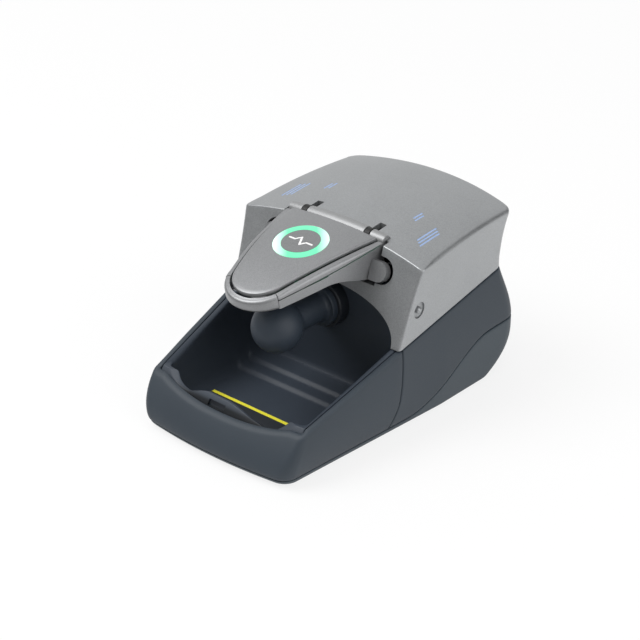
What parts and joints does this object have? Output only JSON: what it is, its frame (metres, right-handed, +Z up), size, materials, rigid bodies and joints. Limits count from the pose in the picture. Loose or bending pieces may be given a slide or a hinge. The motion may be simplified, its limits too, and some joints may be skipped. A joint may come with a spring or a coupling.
{
  "type": "synthetic diamond tester",
  "caption": "Bench gemstone screening instrument with a sloping tray, hooded housing, rubber finger that carries jewellery and a hinged sensor arm with a lit push button.",
  "frame": {"origin": "on the bench under the middle of the housing's box, at the bottom of the rubber feet", "axes": "+Z up, +Y towards the rear of the housing, +X to the right of a user who faces the tray"},
  "size_m": [0.0726, 0.1148, 0.0609],
  "materials": {
    "base_plastic": "fine moulded texture, satin",
    "pan_plastic": "fine moulded texture, matt",
    "liner_plastic": "smooth, matt",
    "yellow_print": "printed, matt",
    "cover_paint": "metallic paint with fine flake",
    "arm_paint": "metallic paint with fine flake",
    "finger_rubber": "moulded, matt",
    "foot_rubber": "matt",
    "steel": "turned, satin",
    "blue_window": "translucent",
    "green_light": "translucent and lit",
    "white_print": "filled engraving",
    "circuit_board": "solder resist",
    "battery_wrap": "film wrap",
    "black_plastic": "moulded, satin",
    "sensor_glass": "polished"
  },
  "bodies": {
    "housing": {"bottom_pan": "pan_plastic", "rear_shell": "base_plastic", "front_bezel": "base_plastic", "tray_liner": "liner_plastic", "floor_plate": "black_plastic", "yellow_line": "yellow_print", "top_cover": "cover_paint", "chamber_hood": "liner_plastic", "finger_boss": "black_plastic", "finger_core": "steel", "finger_nut": "steel", "rubber_finger": "finger_rubber", "side_pins": "cover_paint", "indicator_windows": "blue_window", "indicator_board": "circuit_board", "hinge_bracket": "steel", "bracket_screws": "steel", "main_board": "circuit_board", "board_screws": "steel", "battery": "battery_wrap", "charge_socket": "steel", "buzzer": "black_plastic", "feet": "foot_rubber", "case_screws": "steel"},
    "arm": {"arm_upper_shell": "arm_paint", "arm_lower_shell": "arm_paint", "arm_top_plate": "arm_paint", "hinge_barrel": "arm_paint", "hinge_pin": "steel", "light_ring": "green_light", "arm_board": "circuit_board", "switch_dome": "steel", "sensor_holder": "black_plastic", "sensor_window": "sensor_glass", "sensor_chip": "black_plastic", "arm_screws": "steel"},
    "button": {"button_cap": "arm_paint", "button_mark": "white_print"}
  },
  "joints": [
    {"name": "arm_hinge", "type": "hinge", "parent": "housing", "child": "arm", "pos_m": [0, 0.0026, 0.0576], "axis": [-1, 0, 0], "range_deg": [0, 70]},
    {"name": "button_press", "type": "slide", "parent": "arm", "child": "button", "axis": [0, 0.1771, -0.9842], "range_m": [0, 0.0007], "stiffness_N_per_m": 800}
  ]
}
